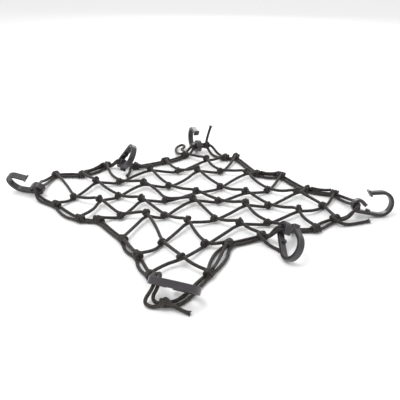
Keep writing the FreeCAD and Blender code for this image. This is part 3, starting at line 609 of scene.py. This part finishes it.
def frayed(name, line, size, material):
    """A cut end: the sheath's yarns splay out round the end of the rubber core."""
    end = line[-1]
    way = (line[-1] - line[-3]).normalized()
    side = way.orthogonal().normalized()
    tufts = []
    for n in range(TUFTS):
        angle = 2 * math.pi * n / TUFTS + rng.uniform(-0.1, 0.1)
        out = Quaternion(way, angle) @ side
        length = TUFT_LENGTH * size * rng.uniform(0.6, 1.15)
        splay = rng.uniform(0.15, 0.75)
        bend = [end - way * 0.002 + out * (CORD_R * 0.86),
                end + way * (length * 0.35) + out * (CORD_R * 0.95),
                end + way * (length * 0.75) + out * (CORD_R + length * splay * 0.35),
                end + way * length + out * (CORD_R + length * splay)]
        for point in bend:
            point.z = max(point.z, 0.0006)
        tufts.append(tube(bend, [0.00045, 0.0004, 0.0003, 0.0001], start_u=n * 0.01))
    return piece(name, *joined(tufts), material, "braided_cord")


def core_tip(name, line):
    """The rubber core's cut face, just proud of the sheath."""
    end = line[-1]
    way = (line[-1] - line[-3]).normalized()
    steps = ((-0.003, 1.0), (0.0006, 1.0), (0.0010, 0.93), (0.0012, 0.75), (0.0013, 0.3))
    rod = tube([end + way * d for d, _ in steps], [CORE_R * share for _, share in steps])
    return piece(name, *rod, RUBBER, "rubber_core")


# Which CAD node holds the rubber core of a cord, by the start of its own node's name.
CORE_OF = {
    "mesh_cord_a": "rubber_core_mesh_a",
    "mesh_cord_b": "rubber_core_mesh_b",
    "border_": "rubber_core_border",
    "corner_": "rubber_core_corners",
    "cut_end_": "rubber_core_ends",
    "slack_bight": "rubber_core_ends",
}

for name, (node, length, points) in ROUTES.items():
    line = centreline(name, points)
    material = OLIVE if name in OLIVE_CORDS else CHARCOAL
    cord = piece("cord_" + name, *tube(line, CORD_R, start_u=rng.random()), material, "braided_cord")
    core = next(held for start, held in CORE_OF.items() if node.startswith(start))
    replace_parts(cord, node, core)
    on_it = []
    if name in CUT:
        on_it = [frayed("fray_" + name, line, CUT[name], OLIVE), core_tip("core_" + name, line)]


# ---- the knots -----------------------------------------------------------------------------
def trefoil(middle, size, radius, turn):
    """A cord tied into a tight overhand lump: the path of a trefoil, turned as given."""
    line = []
    for n in range(LUMP_STEPS):
        t = 2 * math.pi * n / LUMP_STEPS
        reach = 0.66 + 0.34 * math.cos(3 * t)
        line.append(middle + turn @ Vector((reach * math.cos(2 * t), reach * math.sin(2 * t),
                                            LUMP_FLAT * math.sin(3 * t))) * size)
    return tube(line, radius, closed=True, start_u=rng.random())


def wrapping(middle, along, reach, radius, length, turns, phase):
    """A cord wound round the border cords, its two ends tucked in under the turns."""
    side = Vector((-along.y, along.x, 0))
    line = []
    for n in range(WRAP_STEPS):
        t = n / (WRAP_STEPS - 1)
        tuck = min(1.0, 0.35 + 7 * t, 0.35 + 7 * (1 - t))
        angle = phase + 2 * math.pi * turns * t
        place = (t - 0.5) * length + 0.0009 * math.sin(angle)
        line.append(middle + along * place
                    + (side * math.cos(angle) + Vector((0, 0, 1)) * math.sin(angle)) * (reach * tuck))
    return tube(line, radius, start_u=rng.random())


def any_turn():
    """A turn about any axis, by any angle."""
    axis = Vector((rng.gauss(0, 1), rng.gauss(0, 1), rng.gauss(0, 1))).normalized()
    return Quaternion(axis, rng.uniform(0, math.tau))


for node, places in MESH_KNOTS.items():
    middles = [Vector(place) + Vector((0, 0, 0.0007)) for place in places]
    lumps = []
    for n, middle in enumerate(middles):
        along = middles[min(n + 1, len(middles) - 1)] - middles[max(n - 1, 0)]
        along = Vector((along.x, along.y, 0)).normalized()
        lumps.append(trefoil(middle, MESH_LUMP, KNOT_CORD_R, any_turn()))
        lumps.append(wrapping(middle + Vector((0, 0, 0.0006)), along, MESH_WRAP, KNOT_CORD_R,
                              rng.uniform(0.0035, 0.0055), rng.uniform(1.3, 1.7), rng.uniform(0, math.tau)))
    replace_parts(piece("tied_" + node, *joined(lumps), CHARCOAL, "braided_cord"), node)

for node, places in BORDER_KNOTS.items():
    lumps = []
    for (x, y), (along_x, along_y) in places:
        along = Vector((along_x, along_y, 0)).normalized()
        middle = Vector((x, y, BORDER_KNOT_Z))
        lumps.append(wrapping(middle, along, BORDER_WRAP, BORDER_WRAP_R, rng.uniform(0.0125, 0.0145),
                              rng.uniform(2.6, 3.1), rng.uniform(0, math.tau)))
        across = Quaternion(along, rng.uniform(-0.5, 0.5)) @ Vector((0, 0, 1))
        lump_at = middle + across * BORDER_LUMP_OUT
        lumps.append(trefoil(lump_at, BORDER_LUMP, KNOT_CORD_R, any_turn()))
    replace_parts(piece("tied_" + node, *joined(lumps), CHARCOAL, "braided_cord"), node)

for node, middle in END_KNOTS.items():
    material = OLIVE if node == "end_knot_front" else CHARCOAL
    middle = Vector(middle)
    second = middle + Vector((0.0008, 0, 0.0003))
    lumps = [trefoil(middle, END_LUMPS[0], END_CORD_R, any_turn()),
             trefoil(second, END_LUMPS[1], END_CORD_R, any_turn())]
    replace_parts(piece("tied_" + node, *joined(lumps), material, "braided_cord"), node)

# ---- the hooks -----------------------------------------------------------------------------
for name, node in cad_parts.items():
    if name.startswith("hook_"):
        for place in node.material_slots:
            place.link = "OBJECT"
            place.material = PLASTIC

# ---- the floor and the light ---------------------------------------------------------------
floor_mesh = bpy.data.meshes.new("floor")
corners = [(-FLOOR, -FLOOR, 0), (FLOOR, -FLOOR, 0), (FLOOR, FLOOR, 0), (-FLOOR, FLOOR, 0)]
floor_mesh.from_pydata(corners, [], [(0, 1, 2, 3)])
floor = bpy.data.objects.new("floor", floor_mesh)
bpy.context.scene.collection.objects.link(floor)
ground = Nodes("floor")
ground.shader.inputs["Base Color"].default_value = (0.93, 0.93, 0.93, 1)
ground.shader.inputs["Roughness"].default_value = 0.9
ground.shader.inputs["Specular IOR Level"].default_value = 0.1
floor_mesh.materials.append(ground.material)

world = bpy.data.worlds.new("studio")
world.use_nodes = True
world.node_tree.nodes["Background"].inputs["Color"].default_value = (1, 1, 1, 1)
world.node_tree.nodes["Background"].inputs["Strength"].default_value = 0.9
bpy.context.scene.world = world
# The pale ground and the near-black cords are both shown as they are.
bpy.context.scene.view_settings.view_transform = "Standard"


def lamp(name, place, aim, size, power):
    """A round soft light that points at a place."""
    light = bpy.data.lights.new(name, "AREA")
    light.shape = "DISK"
    light.size = size
    light.energy = power
    obj = bpy.data.objects.new(name, light)
    obj.location = place
    obj.rotation_euler = (Vector(aim) - Vector(place)).to_track_quat("-Z", "Y").to_euler()
    bpy.context.scene.collection.objects.link(obj)


lamp("key", (-0.5, -0.3, 1.5), (0, 0, 0), 0.9, 11)
lamp("rim", (0.15, 1.5, 0.85), (0, 0, 0), 1.0, 9)
